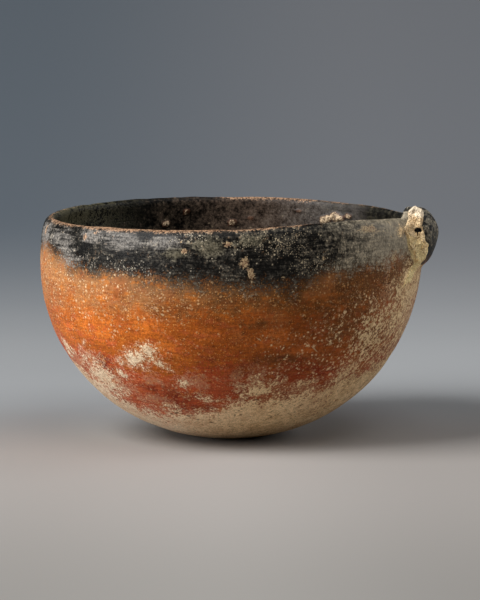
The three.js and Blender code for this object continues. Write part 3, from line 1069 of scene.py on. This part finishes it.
def crust_material():
    """Lime cake: pale and pinkish above, yellower and fibrous below the string hole, where its light colour
    is partly painted light on a face that lies in shade.
    """
    s = Surface("lime_crust")
    mottle = s.grain(2.6, 3, seed=51, rough=0.65)
    grit = s.grain(0.9, 2, seed=52, rough=0.7)
    dots = s.grain(0.5, 1, seed=54)
    fibres = s.grain(0.9, 3, stretch=(1, 1, 4), seed=53, rough=0.6)
    base = s.layers(
        (206, 170, 126),
        ((mottle * 0.6 + grit * 0.4).rising(-0.5, 0.5), (240, 214, 172)),
        ((s.z + mottle * 2).rising(84.5, 88) * 0.8, (250, 232, 204)),
        # Below the string hole: yellow fibres, made light partly as painted light on a face in shade
        ((s.z + mottle * 5).falling(71, 82) * 0.9,
         s.mix(fibres.rising(-0.6, 0.1), (236, 196, 132), (255, 232, 172))),
        ((mottle * 0.8 + fibres * 0.4).rising(0.4, 0.9) * 0.4, (196, 142, 98)),
        (s.specks(1.1, mottle * 0.25 + 0.2, seed=55) * 0.75, (96, 68, 46)),
        (s.specks(1.4, 0.25 - mottle * 0.2, seed=56) * 0.7, (250, 236, 210)),
    )
    relief = mottle * 0.25 + grit * 0.22 + fibres * 0.2
    return s.finish(s.times(base, 1 + grit * 0.2 + dots * 0.2), 0.9, relief, specular=0.2)


def dress(piece, node, material):
    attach(piece, "root")
    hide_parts(node)
    piece.data.materials.append(material)


# The boxes in which the small pieces lie, and the steps of their meshes
LUG_GRID = ((66, -11.5, 60), (81, 11.5, 92), 0.3)
LUTING_GRID = ((64, -19, 58), (80, 19, 91), 0.36)
CRUST_GRID = ((64, -19, 55), (82, 5, 93), 0.26)


def field_piece(name, grid, field_at, painted=False):
    points, faces = zero_surface(*grid, field_at)
    fields = {**painted_zones(points), "from_crest": np.full(len(points), WALL)} if painted else {}
    return mesh_object(name, shaped_by_hand(points), faces, fields)


ware_look = ware()
dress(bowl_wall(), "bowl_body", ware_look)
dress(field_piece("string_lug", LUG_GRID, seated_lug), "rim_lug", smoked_ware())
dress(field_piece("luting_fillet", LUTING_GRID, seated_luting, painted=True),
      "lug_luting", ware_look)
dress(field_piece("lug_crust", CRUST_GRID, seated_crust), "lime_crust", crust_material())


# Camera: azimuth in degrees, pitch in radians, places in millimetres, clipping in metres

CAMERA_AZIMUTH = 17
CAMERA_PITCH = 0.1119
CAMERA_CLIP = 30
CAMERA_DISTANCE = 1200
CAMERA_HEIGHT = 186.16
CAMERA_ASIDE = 4.33
FOCAL_PIXELS = 3178.06
IMAGE_HEIGHT = 600

turned = radians(CAMERA_AZIMUTH)
to_right = Vector((cos(turned), sin(turned), 0))
ahead = Vector((-sin(turned), cos(turned), 0))


optics = bpy.data.cameras.new("camera")
optics.lens = FOCAL_PIXELS / IMAGE_HEIGHT * optics.sensor_width
optics.clip_end = CAMERA_CLIP
camera = add_object("camera", optics)
camera.location = (to_right * CAMERA_ASIDE - ahead * CAMERA_DISTANCE + UP * CAMERA_HEIGHT) * MM
look = ahead * cos(CAMERA_PITCH) - UP * sin(CAMERA_PITCH)
camera.rotation_euler = look.to_track_quat("-Z", "Y").to_euler()
bpy.context.scene.camera = camera


# Floor and light

SWEEP_STARTS = 220
SWEEP_RADIUS = 1600
SWEEP_TOP = 2200
SWEEP_STEPS = 32
FLOOR_HALF = 3000


def sweep_floor():
    """A pale floor that curves up into a backdrop behind the bowl, with painted shade: the floor darker
    towards the front, the sides and beside the bowl, and the backdrop darker as it rises.
    """
    profile = [(-FLOOR_HALF, 0), (SWEEP_STARTS, 0)]
    profile += [(SWEEP_STARTS + SWEEP_RADIUS * sin(a), SWEEP_RADIUS * (1 - cos(a)))
                for a in np.linspace(0, pi / 2, SWEEP_STEPS + 1)[1:]]
    profile.append((SWEEP_STARTS + SWEEP_RADIUS, SWEEP_TOP))
    points = [tuple(to_right * x + ahead * y + UP * z)
              for y, z in profile for x in (-FLOOR_HALF, 0, FLOOR_HALF)]
    faces = [(3 * i + j, 3 * i + j + 1, 3 * i + j + 4, 3 * i + j + 3)
             for i in range(len(profile) - 1) for j in range(2)]
    floor = mesh_object("floor", points, faces, {})
    s = Surface("floor")
    away = s.y * cos(turned) - s.x * sin(turned)
    side = s.x * cos(turned) + s.y * sin(turned)
    # Painted shade on the floor: darker towards the front, at the left and the right, and a painted shadow
    # beside the bowl
    table = s.mix(away.falling(-330, -90), (157, 152, 148), (138, 135, 131))
    table = s.mix(away.rising(-60, 90), table, (154, 156, 158))
    shadow_near_bowl = away.rising(-70, 20) * away.falling(40, 160) * side.falling(0, 90)
    left, right = side.falling(-75, 5), side.rising(0, 75) * away.falling(0, 250)
    table = s.times(table, 1 - left * 0.12 - right * 0.12 - shadow_near_bowl * 0.1)
    # The backdrop: blue-grey, with painted shade that darkens it to the left and as it rises
    wall = s.mix(side.rising(-150, 100), (88, 96, 104), (111, 114, 119))
    tone = s.mix(away.rising(210, 570), table, wall)
    floor.data.materials.append(s.finish(tone, 0.8, s.grain(2, 2, seed=61) * 0.005, specular=0.2))


# Lamps: name, degrees to the right of the camera's side, degrees up, metres away, metres wide, watts
LAMPS = (
    ("key", -60, 42, 1.5, 0.9, 31),
    ("low", -68, 12, 1.5, 0.4, 7),
    ("fill", 35, 62, 1.6, 1.0, 7.5),
    ("rim", 100, 22, 1.6, 0.7, 7.5),
)
LAMP_AIM = 0.05
WORLD_COLOUR = (1.0, 0.985, 0.96, 1)
WORLD_STRENGTH = 0.08


def soft_lamp(name, azimuth, elevation, distance, size, power):
    """A square lamp that faces the bowl."""
    a, e = radians(azimuth), radians(elevation)
    way = (to_right * sin(a) - ahead * cos(a)) * cos(e) + UP * sin(e)
    data = bpy.data.lights.new(name, "AREA")
    data.shape = "SQUARE"
    data.size = size
    data.energy = power
    lamp = add_object(name, data)
    lamp.location = way * distance + UP * LAMP_AIM
    lamp.rotation_euler = (-way).to_track_quat("-Z", "Y").to_euler()


sweep_floor()
for lamp in LAMPS:
    soft_lamp(*lamp)
world = bpy.data.worlds.new("world")
world.use_nodes = True
background = world.node_tree.nodes["Background"].inputs
background["Color"].default_value = WORLD_COLOUR
background["Strength"].default_value = WORLD_STRENGTH
bpy.context.scene.world = world
bpy.context.scene.view_settings.view_transform = "Standard"
